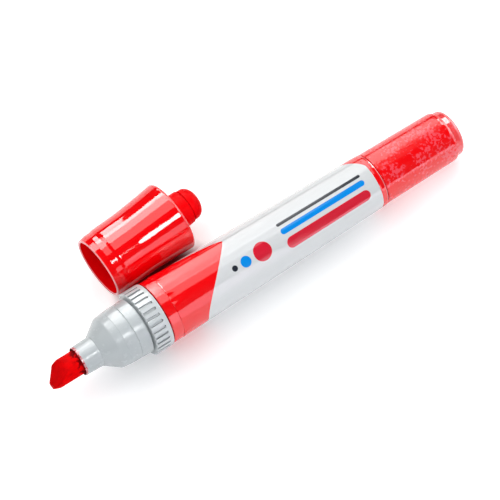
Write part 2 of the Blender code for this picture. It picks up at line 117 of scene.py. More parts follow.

# Barrel, printed film and tail plug
BARREL_RADIUS = 0.00881
BARREL_END_RADIUS = 0.0076
BARREL_Z = -0.0054
SEAM_Z = -0.0748
FILM_FRONT_Z = -0.0083
FILM_REAR_Z = -0.0732
SEAT_DEPTH = 0.0006
FILM_PROUD = 0.00003
FILM_GAP = 0.00004
PUCKER_LENGTH = 0.0065           # how far the film's front edge is puckered
PUCKER_HEIGHT = 0.00024
PUCKER_ROWS = 14
PUCKER_WAVES = ((7, 0.5, 0.6), (13, 0.3, 2.1), (29, 0.2, 4.0))  # waves round the film, share and phase
SOCKET_RADIUS = 0.00725
SOCKET_Z = -0.0174
TAIL_RADIUS = 0.00747
TAIL_REST_RADIUS = 0.00725
TAIL_BUTTON_RADIUS = 0.0066
TAIL_SHOULDER_FALL = 0.00035
TAIL_BUTTON_ROUND = 0.0026
TAIL_Z = -0.0751
TAIL_REST_Z = -0.0975
TAIL_STEP_Z = -0.0988
TAIL_END_Z = -0.1015
TAIL_SPIGOT_Z = -0.0626
TAIL_SPIGOT_RADIUS = 0.00585
TAIL_HOLLOW_RADIUS = 0.00465
TAIL_HOLLOW_Z = -0.0997
MOULD_EDGE = 0.00018             # rounding of moulded edges
FILM_EDGE = 0.00008
FINE_EDGE = 0.00005              # rounding of crisp edges

# Ink reservoir inside the barrel
CORE_RADIUS = 0.00525
CORE_FRONT_Z = 0.0030
CORE_REAR_Z = -0.0623
CORE_SOCKET_RADIUS = 0.0025
CORE_SOCKET_Z = -0.0050
CORE_EDGE = 0.0005
CORE_SOCKET_EDGE = 0.0002
WRAP_RADIUS = 0.00585
WRAP_INNER_RADIUS = 0.00555
WRAP_FRONT_Z = 0.0020
WRAP_REAR_Z = -0.0613
WRAP_EDGE = 0.0001

# Cap and its liner, in the cap's frame
CAP_MOUTH_RADIUS = 0.0079
CAP_BORE_RADIUS = 0.00775
CAP_RIM_RADIUS = 0.0086
CAP_LIP_RADIUS = 0.00892
CAP_WAIST_RADIUS = 0.00907
CAP_END_RADIUS = 0.00997
CAP_LIP_Z = 0.0019               # end of the slanting lip
CAP_BAND_Z = 0.0036              # end of the straight band behind it
CAP_STEP_Z = 0.0045              # end of the slope up to the waist
CAP_WAIST_Z = 0.0105             # start of the flare
CAP_LENGTH = 0.02455
CAP_FLOOR_Z = 0.0234
CAP_FLARE_POWER = 1.5            # how late the flare opens
CAP_EDGE = 0.0003
CAP_END_ROUND = 0.0008
CAP_FLOOR_ROUND = 0.0012
CAP_SOFT = 0.0030                # rounding of the bends in the cap's outline
KNOB_SEAT_RADIUS = 0.0047
KNOB_BASE_RADIUS = 0.00500
KNOB_RADIUS = 0.00475
KNOB_BORE = 0.0044
KNOB_Z = 0.0285
LINER_NECK_RADIUS = 0.0041
LINER_BUTTON_RADIUS = 0.00447
LINER_FLANGE_RADIUS = 0.0057
LINER_FLANGE_Z = 0.0231
LINER_FLANGE_LENGTH = 0.0009
LINER_SEAL_RADIUS = 0.0051
LINER_SEAL_MOUTH = 0.0043
LINER_SEAL_BORE = 0.0041
LINER_SEAL_Z = 0.0135
LINER_STOP_Z = 0.01875
LINER_BUTTON_Z = 0.0288
LINER_DOME_Z = 0.0294            # where the button's dome starts
DOME_FULLNESS = 0.88             # 1 is an ellipse, less is fuller
LINER_END_Z = 0.0325
LINER_BORE_END_Z = 0.03125

# Mesh fineness
BODY_SIDES = 144
CORE_SIDES = 64
ROUND_STEP = math.radians(15)    # turn between two points of a rounded corner
SHARP_ANGLE = math.radians(40)   # edges that bend more than this stay sharp

# Print on the film, as distances behind the ring and along the girth from the line that faces the camera
PRINT_FACE = math.radians(24.8)  # that line, from the top of the marker towards the side away from the cap
PRINT_RADIUS = 0.0083            # radius at which the girth is measured
FIELD_TIP = 0.0161               # foremost place of the pale field
FIELD_REACH = 0.0146             # how much further back the field starts on the far side
FIELD_GIRTH = 0.0210             # girth over which it sweeps back
FIELD_SIDE = 0.0092              # girth at which the tip lies
FIELD_PEAK = -0.0076             # girth at which the red reaches furthest back
FIELD_FALL = 0.0048              # girth over which it comes forward again on the hidden side
FIELD_END = 0.0733               # rear end of the pale field, beyond the film
FIELD_END_SWEEP = 0.0045         # how much earlier it ends on the far side
FIELD_END_GIRTH = (-0.0035, -0.0130)  # girth over which that happens
PRINT_SOFT = 0.00004             # softness of a printed edge
PRINT_DARK = (0.02, 0.024, 0.035)
PRINT_BLUE = (0.0, 0.27, 0.80)
PRINT_CRIMSON = (0.70, 0.012, 0.035)
PRINT_MARKS = (                  # start, end, line of the girth, width and ink
    (0.0265, 0.0281, 0.0008, 0.0016, PRINT_DARK),
    (0.0293, 0.0323, 0.0008, 0.0030, PRINT_BLUE),
    (0.0335, 0.0387, 0.0008, 0.0052, PRINT_CRIMSON),
    (0.0430, 0.0700, -0.0030, 0.0009, PRINT_DARK),
    (0.0430, 0.0700, -0.0008, 0.0017, PRINT_BLUE),
    (0.0430, 0.0700, 0.0029, 0.0032, PRINT_CRIMSON),
)

# Camera, from the outlines in the 500 x 500 photograph
CAMERA_AZIMUTH = math.radians(-35.88)
CAMERA_ELEVATION = math.radians(60.5)
CAMERA_DISTANCE = 0.6287
CAMERA_TARGET = Vector((-0.0009, -0.0099, 0.0090))
CAMERA_LENS = 174.27
CAMERA_SENSOR = 36.0

# Panels that show in the gloss: angles across and along the marker in degrees, radiance and tint
WHITE = (1.0, 1.0, 1.0)
COOL = (0.92, 0.95, 1.0)
ROSE = (1.0, 0.88, 0.97)
GLOWS = (
    ("long_panel", (-80, -22), (14, 27), 2.7, WHITE),
    ("long_panel_core", (-72, -45), (14, 20.5), 0.5, WHITE),
    ("long_panel_edge", (-22, 8), (14, 24), 1.4, WHITE),
    ("front_panel", (58, 96), (14, 21), 2.2, ROSE),
    ("front_panel_rear", (80, 98), (21, 30), 2.6, ROSE),
    ("tail_glint", (-52, -18), (29, 36), 13.0, WHITE),
    ("end_panel_far", (-75, -25), (40, 84), 2.6, WHITE),
    ("end_panel", (-25, 25), (40, 84), 2.6, WHITE),
    ("end_panel_near", (25, 75), (40, 84), 2.6, ROSE),
    ("ring_panel", (-75, -14), (13.4, 16.6), 14.0, WHITE),
    ("cap_panel", (-44, -20), (-4, 13), 7.5, WHITE),
    ("cap_lip_panel", (-62, -28), (-16, -5), 7.0, WHITE),
    ("cap_panel_core", (-56, -44), (1.5, 13), 15.0, WHITE),
    ("cap_panel_low", (-78, -56), (7.5, 13), 10.0, WHITE),
    ("cap_panel_edge", (-20, 8), (-1, 13), 2.2, WHITE),
    ("cap_window", (28, 42), (1.5, 11.5), 18.0, WHITE),
    ("cap_front", (60, 80), (4, 14), 2.2, ROSE),
)
GLOW_DISTANCE = 3.0

# Lamps that light the scene and don't show in the gloss: the same, with the distance before the radiance
LAMPS = (
    ("key", (-60, -15), (-35, 35), 1.2, 1.1, WHITE),
    ("fill", (42, 74), (-40, 40), 1.2, 2.5, COOL),
    ("overhead", (-50, 14), (-60, 42), 1.0, 1.35, WHITE),
)
SURROUND = 0.05                  # brightness of the world

# Floor, whose own glow is weaker in an oval on the marker's shadow side, a painted shadow. In the gap
# beside the cap it has no glow and is painted dark red, a painted shadow that stands for the deep shade
# there.
FLOOR_RADIUS = 4.0
FLOOR_TONE = (0.88, 0.88, 0.88)
FLOOR_GLOW = 0.45
SHADE_GLOW = 0.22
SHADE_PLACE = (-0.008, -0.030)
SHADE_SIZE = (0.068, 0.030)
NARROW_PLACE = (-0.021, 0.0010)
NARROW_SIZE = (0.012, 0.005)
GAP_PAINTED_SHADOW = (0.34, 0.05, 0.06)

# Colours, in pairs where the surface wanders between two
RED = (0.92, 0.0004, 0.0028)
REDS = (0.91, 0.0003, 0.0022), (0.94, 0.0006, 0.0036)
PAINTED_HIGHLIGHT_RED = (0.95, 0.42, 0.44)
PAINTED_SHEEN_FLECKS = (0.95, 0.35, 0.47)
GREY = (0.485, 0.52, 0.53)
GREYS = (0.465, 0.50, 0.51), (0.505, 0.54, 0.55)
RING_GREY = (0.60, 0.63, 0.64)
NOTCH_PAINTED_SHADE = (0.34, 0.355, 0.365)
DRIED_INKS = (0.55, 0.004, 0.012), (0.66, 0.28, 0.30)
NOZZLE_MOUTH_DARK = (0.20, 0.0, 0.002)
FELT_REDS = (0.72, 0.0, 0.0005), (0.95, 0.0, 0.0010)
FELT_BLOTCH = (0.48, 0.0, 0.001)
FELT_PAINTED_SHADE = (0.42, 0.0, 0.001)
FELT_NEAR_NOZZLE_DARK = (0.16, 0.0, 0.001)
SILVER = (0.69, 0.705, 0.71)
SILVERS = (0.67, 0.685, 0.69), (0.71, 0.72, 0.725)
CORE_REDS = (0.30, 0.001, 0.003), (0.65, 0.003, 0.006)
WRAP = (0.8, 0.6, 0.6)
WRAPS = (0.72, 0.42, 0.42), (0.82, 0.66, 0.66)


def axis_frame(origin, direction, up):
    """The frame at origin whose z lies along direction and whose x lies as near to up as it can."""
    z_axis = Vector(direction).normalized()
    x_axis = (up - z_axis * up.dot(z_axis)).normalized()
    turn = Matrix((x_axis, z_axis.cross(x_axis), z_axis)).transposed().to_4x4()
    return Matrix.Translation(origin) @ turn


def marker_frame():
    """The marker's frame, on the axis about which the nose unscrews."""
    joint = next(j for j in frame["joints"] if j["name"] == "nose_unscrew")
    return axis_frame(Vector(joint["pos_m"]), Vector(joint["axis"]), Vector((0, 0, 1)))


def cap_frame():
    """The cap's frame, from the spread of its solid's points: its axis is the long one near +X."""
    points = np.array([v.co for v in frame["nodes"]["cap_shell"].data.vertices])
    points = np.unique(points.round(7), axis=0)
    middle = points.mean(axis=0)
    axes = np.linalg.eigh(np.cov((points - middle).T))[1].T
    axis = max(axes, key=lambda a: abs(a[0]))
    axis = axis * np.sign(axis[0])
    rim = middle + axis * ((points - middle) @ axis).min()
    return axis_frame(Vector(rim), Vector(axis), Vector((0, 0, -1)))


def rounded(corners, closed=True):
    """Points of an outline whose corners are (radius, z) or (radius, z, size of the rounding)."""
    points = []
    count = len(corners)
    for index, corner in enumerate(corners):
        here = Vector(corner[:2])
        inner = closed or 0 < index < count - 1
        if len(corner) < 3 or not inner:
            points.append(tuple(here))
            continue
        before = Vector(corners[index - 1][:2]) - here
        after = Vector(corners[(index + 1) % count][:2]) - here
        opening = before.angle(after)
        reach = min(corner[2] / math.tan(opening / 2), 0.49 * before.length, 0.49 * after.length)
        size = reach * math.tan(opening / 2)
        inwards = (before.normalized() + after.normalized()).normalized()
        middle = here + inwards * size / math.sin(opening / 2)
        start = here + before.normalized() * reach - middle
        end = here + after.normalized() * reach - middle
        steps = max(3, math.ceil((math.pi - opening) / ROUND_STEP))
        turn = start.angle_signed(end)
        for step in range(steps + 1):
            points.append(tuple(middle + Matrix.Rotation(-turn * step / steps, 2) @ start))
    return points


def even_angles(sides):
    """Angles of a full turn in equal steps."""
    return [2 * math.pi * side / sides for side in range(sides)]


def revolved(name, outline, angles, place, mat, closed=True, carve=None):
    """A piece turned from an outline of (radius, z) points. carve(radius, angle, z) may change a radius."""
    bm = bmesh.new()
    rings = []
    for radius, z in outline:
        if radius == 0.0:
            rings.append([bm.verts.new((0.0, 0.0, z))])
            continue
        ring = []
        for angle in angles:
            here = carve(radius, angle, z) if carve else radius
            ring.append(bm.verts.new((here * math.cos(angle), here * math.sin(angle), z)))
        rings.append(ring)
    pairs = list(zip(rings, rings[1:]))
    if closed:
        pairs.append((rings[-1], rings[0]))
    sides = len(angles)
    for upper, lower in pairs:
        for side in range(sides):
            corners = [upper[side % len(upper)], upper[(side + 1) % len(upper)],
                       lower[(side + 1) % len(lower)], lower[side % len(lower)]]
            bm.faces.new(list(dict.fromkeys(corners)))
    bmesh.ops.recalc_face_normals(bm, faces=bm.faces)
    obj = placed(name, bm, place, mat)
    obj.data.set_sharp_from_angle(angle=SHARP_ANGLE)
    even = obj.modifiers.new("Even shading", "WEIGHTED_NORMAL")
    even.keep_sharp = True
    return obj


def placed(name, bm, place, mat):
    """An object made of a bmesh, shaded smooth and put in place."""
    mesh = bpy.data.meshes.new(name)
    bm.to_mesh(mesh)
    bm.free()
    mesh.shade_smooth()
    mesh.materials.append(mat)
    obj = bpy.data.objects.new(name, mesh)
    obj.matrix_world = place
    bpy.context.scene.collection.objects.link(obj)
    return obj


def dress(obj, body, node):
    """Puts a piece on its body, in the place of its solid."""
    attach(obj, body)
    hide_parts(node)


class Finish:
    """A Principled material being built, with one short call for each kind of node."""

    def __init__(self, name, colour, **values):
        self.material = bpy.data.materials.new(name)
        self.material.use_nodes = True
        self.tree = self.material.node_tree
        self.shader = self.tree.nodes["Principled BSDF"]
        self.set("Base Color", (*colour, 1.0))
        for key, value in values.items():
            self.set(key.replace("_", " ").title().replace("Ior", "IOR"), value)
        self.place = self.add("ShaderNodeTexCoord").outputs["Object"]

    def set(self, socket, value):
        """Sets one of the shader's sockets, to a value or to another node's output."""
        self.fill(self.shader.inputs[socket], value)

    def fill(self, socket, value):
        """Gives any socket a value or a link."""
        if isinstance(value, bpy.types.NodeSocket):
            self.tree.links.new(value, socket)
        else:
            socket.default_value = value

    def add(self, kind, **settings):
        """A new node with these settings."""
        node = self.tree.nodes.new(kind)
        for key, value in settings.items():
            setattr(node, key, value)
        return node

    def math(self, operation, *values):
        """The result of a sum, product or other operation."""
        node = self.add("ShaderNodeMath", operation=operation)
        for socket, value in zip(node.inputs, values):
            self.fill(socket, value)
        return node.outputs[0]

    def noise(self, size, detail=2.0, stretch=(1.0, 1.0, 1.0)):
        """Noise with features of about the given size, drawn out along an axis where stretch is over 1."""
        scale = self.add("ShaderNodeMapping")
        self.fill(scale.inputs["Vector"], self.place)
        scale.inputs["Scale"].default_value = [1.0 / (size * s) for s in stretch]
        node = self.add("ShaderNodeTexNoise")
        self.fill(node.inputs["Vector"], scale.outputs[0])
        node.inputs["Scale"].default_value = 1.0
        node.inputs["Detail"].default_value = detail
        return node.outputs["Fac"]

    def ramp(self, value, low, high, start=0.0, end=1.0):
        """Maps low..high softly to start..end and holds the ends."""
        node = self.add("ShaderNodeMapRange", interpolation_type="SMOOTHSTEP")
        for socket, given in zip(("Value", "From Min", "From Max", "To Min", "To Max"),
                                 (value, low, high, start, end)):
            self.fill(node.inputs[socket], given)
        return node.outputs[0]

    def spread(self, noise, start, end):
        """A number that follows noise from start to end."""
        return self.ramp(noise, 0.3, 0.7, start, end)

    def length(self, first, second):
        """Length of the vector with these two parts."""
        return self.math("SQRT", self.math("ADD", self.math("MULTIPLY", first, first),
                                           self.math("MULTIPLY", second, second)))

    def mix(self, share, first, second):
        """A colour between two, each a colour or an output."""
        node = self.add("ShaderNodeMix", data_type="RGBA")
        for socket, given in ((node.inputs[0], share), (node.inputs[6], first), (node.inputs[7], second)):
            self.fill(socket, (*given, 1.0) if isinstance(given, tuple) else given)
        return node.outputs[2]

    def bump(self, height, depth):
        """Relief of the given depth in metres."""
        node = self.add("ShaderNodeBump")
        node.inputs["Distance"].default_value = depth
        self.fill(node.inputs["Height"], height)
        if self.shader.inputs["Normal"].is_linked:
            self.fill(node.inputs["Normal"], self.shader.inputs["Normal"].links[0].from_socket)
        self.set("Normal", node.outputs[0])

    def axes(self):
        """The x, y and z of a point in the piece's own frame."""
        node = self.add("ShaderNodeSeparateXYZ")
        self.fill(node.inputs[0], self.place)
        return node.outputs


def red_plastic(name, roughness, ripple, grain, gloss, edge, painted_flecks=0.0):
    """Moulded red plastic: a shallow ripple of the given width, fine grain of the given depth, a painted
    highlight in paler red that fades in between two places along the axis up to a share, and a share of
    pale flecks of painted reflection."""
    finish = Finish(name, RED, specular_ior_level=gloss)
    colour = finish.mix(finish.noise(0.006), *REDS)
    # Painted reflection: pale pink flecks scattered over the red.
    if painted_flecks:
        patch = finish.spread(finish.noise(0.006, 1.0), -0.10, 0.10)
        spots = finish.math("ADD", finish.noise(0.0008, 4.0), patch)
        colour = finish.mix(finish.ramp(spots, 0.53, 0.58, 0.0, painted_flecks), colour, PAINTED_SHEEN_FLECKS)
    # Painted highlight: a band of paler red where edge says.
    start, end, share = edge
    painted_highlight = finish.ramp(finish.axes()["Z"], start, end, 0.0, share)
    finish.set("Base Color", finish.mix(painted_highlight, colour, PAINTED_HIGHLIGHT_RED))
    finish.set("Roughness", finish.spread(finish.noise(0.0016, 3.0), roughness * 0.8, roughness * 1.2))
    finish.bump(finish.noise(ripple, 1.0), grain)
    finish.bump(finish.noise(0.00012, 2.0), grain * 0.06)
    return finish.material


def soft_red():
    """Softer, dull red plastic."""
    finish = Finish("knob_red", RED, specular_ior_level=0.02)
    finish.set("Base Color", finish.mix(finish.noise(0.003), *REDS))
    finish.set("Roughness", finish.spread(finish.noise(0.0016, 3.0), 0.30, 0.40))
    return finish.material


def grey_plastic():
    """Satin light grey nose with a paler, glossier ring, painted shade on the walls of its notches, dark
    red inside the nozzle's mouth, and red ink dried on its rim."""
    finish = Finish("nose_grey", GREY, specular_ior_level=0.45)
    x, y, z = finish.axes()
    radius = finish.length(x, y)
    tone = finish.mix(finish.noise(0.004), *GREYS)
    tone = finish.mix(finish.ramp(z, 0.0002, -0.0002), tone, RING_GREY)
    # Painted shade: the walls of the ring's notches turn darker grey.
    inner = finish.ramp(radius, NOTCH_FLOOR, NOTCH_FLOOR + NOTCH_DEPTH * 0.3)
    outer = finish.ramp(radius, RING_RADIUS - NOTCH_DEPTH * 0.05, RING_RADIUS - NOTCH_DEPTH * 0.3)
    notch_wall_shade = finish.math("MULTIPLY", finish.math("MULTIPLY", inner, outer),
                       finish.ramp(z, -RING_EDGE, -RING_EDGE * 1.5))
    tone = finish.mix(notch_wall_shade, tone, NOTCH_PAINTED_SHADE)
    edge = finish.math("ADD", z, finish.spread(finish.noise(0.0014, 1.0), -0.00025, 0.00025))
    stain = finish.ramp(edge, NOZZLE_Z - RIM_STAIN - 0.00015, NOZZLE_Z - RIM_STAIN + 0.00015)
    rim = finish.ramp(radius, RIM_STAIN_RADIUS + 0.0001, RIM_STAIN_RADIUS - 0.0001)
    stain = finish.math("MULTIPLY", stain, rim)
    dried = finish.mix(finish.ramp(finish.noise(0.0007, 2.0), 0.45, 0.55), *DRIED_INKS)
    # Dark red inside the nozzle's mouth.
    dark_by_nozzle = finish.math("MULTIPLY", finish.ramp(radius, MOUTH_RADIUS + 0.00003, MOUTH_RADIUS - 0.00003),
                      finish.ramp(z, NOZZLE_Z - 0.0030, NOZZLE_Z - 0.0020))
    finish.set("Base Color", finish.mix(dark_by_nozzle, finish.mix(stain, tone, dried), NOZZLE_MOUTH_DARK))
    rough = finish.spread(finish.noise(0.0015, 3.0), 0.20, 0.28)
    rough = finish.math("SUBTRACT", rough, finish.ramp(z, 0.0002, -0.0002, 0.0, 0.10))
    finish.set("Roughness", finish.math("SUBTRACT", rough, finish.math("MULTIPLY", stain, 0.12)))
    finish.bump(finish.noise(0.0009, 2.0), 0.000004)
    return finish.material


def inked_felt():
    """Pressed felt soaked in red ink, with fibres along the nib, painted shade on its chisel faces, and
    darker where it leaves the nozzle."""
    finish = Finish("nib_felt", RED, specular_ior_level=0.02)
    fibre = finish.noise(0.00016, 3.0, (1.0, 1.0, 7.0))
    shade = finish.mix(fibre, *FELT_REDS)
    shade = finish.mix(finish.ramp(finish.noise(0.0016, 2.0), 0.40, 0.75, 0.0, 0.6), shade, FELT_BLOTCH)
    x, y, z = finish.axes()
    # Painted shade: both broad chisel faces turn darker red.
    slope = chisel_slope(1).normalized()
    depth = finish.math("MULTIPLY", finish.math("ABSOLUTE", x), slope.x)
    depth = finish.math("ADD", depth, finish.math("MULTIPLY", y, slope.y))
    depth = finish.math("ADD", depth, finish.math("MULTIPLY", z, slope.z))
    face = slope.dot(Vector((CHISEL_EDGE / 2, -CHISEL_PEAK, NIB_TIP_Z)))
    face_shade = finish.math("MULTIPLY", finish.ramp(depth, face - 0.0007, face - 0.0001, 0.0, 0.6),
                       finish.ramp(z, NIB_TIP_Z - 0.0065, NIB_TIP_Z - 0.0025))
    shade = finish.mix(face_shade, shade, FELT_PAINTED_SHADE)
    # Darker red where the nib leaves the nozzle.
    edge = finish.math("ADD", z, finish.spread(finish.noise(0.0010, 2.0), -0.0007, 0.0007))
    dark_end = NOZZLE_Z + DARK_REACH
    dark_by_nozzle = finish.math("MULTIPLY", finish.ramp(edge, dark_end + 0.0009, dark_end - 0.0003),
                      finish.ramp(z, NOZZLE_Z - 0.0030, NOZZLE_Z - 0.0012, 0.5, 1.0))
    finish.set("Base Color", finish.mix(dark_by_nozzle, shade, FELT_NEAR_NOZZLE_DARK))
    finish.set("Roughness", finish.spread(fibre, 0.55, 0.8))
    finish.bump(fibre, 0.00003)
    finish.bump(finish.noise(0.0001, 2.0), 0.00001)
    return finish.material


def girth(finish):
    """Distance behind the ring, and along the girth from the line that faces the camera."""
    x, y, z = finish.axes()
    across = finish.math("MULTIPLY", y, -1.0)
    cos_face, sin_face = math.cos(PRINT_FACE), math.sin(PRINT_FACE)
    near = finish.math("ADD", finish.math("MULTIPLY", x, cos_face),
                       finish.math("MULTIPLY", across, sin_face))
    side = finish.math("SUBTRACT", finish.math("MULTIPLY", across, cos_face),
                       finish.math("MULTIPLY", x, sin_face))
    around = finish.math("MULTIPLY", finish.math("ARCTAN2", side, near), PRINT_RADIUS)
    return finish.math("MULTIPLY", z, -1.0), around


def printed(finish, depth):
    """Share of ink where depth, the distance inside a printed shape, is above zero."""
    return finish.ramp(depth, -PRINT_SOFT, PRINT_SOFT)


def pale_field(finish, along, around):
    """Share of silver on the film: it starts at a swept edge and ends early on the far side."""
    sweep = finish.ramp(around, FIELD_SIDE, FIELD_SIDE - FIELD_GIRTH, 0.0, FIELD_REACH)
    sweep = finish.math("MULTIPLY", sweep, finish.ramp(around, FIELD_PEAK - FIELD_FALL, FIELD_PEAK))
    front = finish.math("ADD", sweep, FIELD_TIP)
    rear = finish.math("SUBTRACT", FIELD_END, finish.ramp(around, *FIELD_END_GIRTH, 0.0, FIELD_END_SWEEP))
    return finish.math("MULTIPLY", printed(finish, finish.math("SUBTRACT", along, front)),
                       printed(finish, finish.math("SUBTRACT", rear, along)))


def stroke(finish, along, around, start, end, line, width):
    """A printed bar with round ends, along the marker at a line of its girth."""
    half = width / 2
    beyond = finish.math("ABSOLUTE", finish.math("SUBTRACT", along, (start + end) / 2))
    beyond = finish.math("MAXIMUM", finish.math("SUBTRACT", beyond, (end - start) / 2 - half), 0.0)
    distance = finish.length(beyond, finish.math("SUBTRACT", around, line))
    return printed(finish, finish.math("SUBTRACT", half, distance))


def printed_film():
    """Glossy film, red in front and silver behind a swept edge, printed with sample dots and strokes."""
    finish = Finish("film_print", SILVER, specular_ior_level=0.8)
    along, around = girth(finish)
    red = finish.mix(finish.noise(0.006), *REDS)
    silver = finish.mix(finish.noise(0.0005, 3.0, (1, 1, 6)), *SILVERS)
    colour = finish.mix(pale_field(finish, along, around), red, silver)
    for start, end, line, width, ink in PRINT_MARKS:
        colour = finish.mix(stroke(finish, along, around, start, end, line, width), colour, ink)
    finish.set("Base Color", colour)
    finish.set("Roughness", finish.spread(finish.noise(0.002, 3.0), 0.07, 0.10))
    finish.bump(finish.noise(0.003, 1.0), 0.000004)
    return finish.material


def fibre_core():
    """Ink-soaked fibres that run along the reservoir."""
    finish = Finish("core_fibre", RED, specular_ior_level=0.2)
    fibre = finish.noise(0.0002, 3.0, (1, 1, 12))
    finish.set("Base Color", finish.mix(fibre, *CORE_REDS))
    finish.set("Roughness", finish.spread(fibre, 0.7, 0.95))
    finish.bump(fibre, 0.00005)
    return finish.material


def clear_wrap():
    """Thin milky film with faint lengthwise drawing lines, tinted by the ink behind it."""
    finish = Finish("core_wrap_film", WRAP, specular_ior_level=0.5)
    line = finish.noise(0.0004, 2.0, (1, 1, 20))
    finish.set("Base Color", finish.mix(line, *WRAPS))
    finish.set("Roughness", finish.spread(line, 0.2, 0.35))
    finish.bump(line, 0.00001)
    return finish.material


def notch_angles():
    """Angles round the nose, closer together at the walls of the notches than on the ribs."""
    pitch = 2 * math.pi / NOTCH_COUNT
    half_wall = NOTCH_WIDTH / 2 / RING_RADIUS
    slope = NOTCH_SLOPE / RING_RADIUS
    half = [half_wall - slope * 1.5, half_wall - slope, half_wall - slope / 2, half_wall,
            half_wall + slope / 2, half_wall + 2 * slope]
    offsets = [-a for a in reversed(half)] + [0.0] + half + [pitch / 2]
    middles = [pitch * (index + 0.5) + NOTCH_PHASE for index in range(NOTCH_COUNT)]
    return [middle + offset for middle in middles for offset in offsets]


def notched(radius, angle, z):
    """Radius on the ring once its U-shaped notches, open to the front, are cut."""
    if radius <= NOTCH_FLOOR or z > 0.0 or z < -RING_LENGTH:
        return radius
    pitch = 2 * math.pi / NOTCH_COUNT
    beside = ((angle - NOTCH_PHASE) / pitch % 1.0 - 0.5) * pitch * RING_RADIUS
    past_end = min(0.0, z + NOTCH_LENGTH - NOTCH_WIDTH / 2)
    inside = NOTCH_WIDTH / 2 - math.hypot(beside, past_end)
    share = min(1.0, max(0.0, inside / NOTCH_SLOPE))
    return min(radius, RING_RADIUS - NOTCH_DEPTH * share * share * (3 - 2 * share))


def nose_moulding(place, mat):
    """Nozzle, cone, bands, knurled ring and spigot."""
    groove = GROOVE_WIDTH / 2
    front = rounded([
        (MOUTH_RADIUS, NOZZLE_Z, 0.00003),
        (NOZZLE_RADIUS, NOZZLE_Z, 0.00007),
        (NOZZLE_BASE_RADIUS, CONE_Z, 0.00015),
        (CONE_RADIUS, CONE_Z, 0.00012),
        (SHOULDER_RADIUS, SHOULDER_Z, SHOULDER_ROUND),
        (LEDGE_RADIUS, LEDGE_Z, 0.00004),
        (LEDGE_RADIUS + BAND_LEDGE, LEDGE_Z - BAND_LEDGE, 0.00004),
        (STEP_RADIUS, STEP_Z + groove, 0.00008),
        (STEP_RADIUS - GROOVE_DEPTH, STEP_Z, FINE_EDGE),
        (STEP_RADIUS, STEP_Z - groove, 0.00008),
        (REAR_BAND_RADIUS, GAP_WIDTH, 0.00008),
        (REAR_BAND_RADIUS - GAP_DEPTH, GAP_WIDTH),
        (REAR_BAND_RADIUS - GAP_DEPTH, 0.0),
        (NOTCH_FLOOR, 0.0),
    ], closed=False)
    ring = rounded([
        (NOTCH_FLOOR, 0.0),
        (RING_RADIUS, 0.0, RING_EDGE),
        (RING_RADIUS, -NOTCH_LENGTH + NOTCH_WIDTH),
    ], closed=False)[1:]
    end_rows = [(RING_RADIUS, -NOTCH_LENGTH + NOTCH_WIDTH * (1 - row / NOTCH_END_ROWS))
                for row in range(1, NOTCH_END_ROWS + 1)]
    rear = rounded([
        (RING_RADIUS, -NOTCH_LENGTH),
        (RING_RADIUS, -RING_LENGTH, RING_EDGE),
        (SPIGOT_RADIUS, -RING_LENGTH, 0.0001),
        (SPIGOT_RADIUS, SPIGOT_END_Z, SPIGOT_EDGE),
        (CAVITY_RADIUS, SPIGOT_END_Z, SPIGOT_EDGE),
        (CAVITY_RADIUS, FUNNEL_Z),
        (NIB_BORE, GUIDE_Z),
        (NIB_BORE, NOZZLE_Z - MOUTH_DEPTH),
    ], closed=False)[1:]
    outline = front + ring + end_rows + rear
    return revolved("nose_moulding", outline, notch_angles(), place, mat, carve=notched)


def slice_off(bm, point, normal):
    """Cuts away what lies beyond the plane and closes the cut."""
    geometry = bm.verts[:] + bm.edges[:] + bm.faces[:]
    cut = bmesh.ops.bisect_plane(bm, geom=geometry, plane_co=point, plane_no=normal, clear_outer=True)
    rim = [item for item in cut["geom_cut"] if isinstance(item, bmesh.types.BMEdge)]
    bmesh.ops.edgeloop_fill(bm, edges=rim)


def chisel_slope(side):
    """The way that a broad face of the chisel looks, on one side of the nib or the other."""
    rise = NIB_RADIUS - CHISEL_EDGE / 2
    return Vector((side * CHISEL_LENGTH, CHISEL_SLANT * rise, rise))


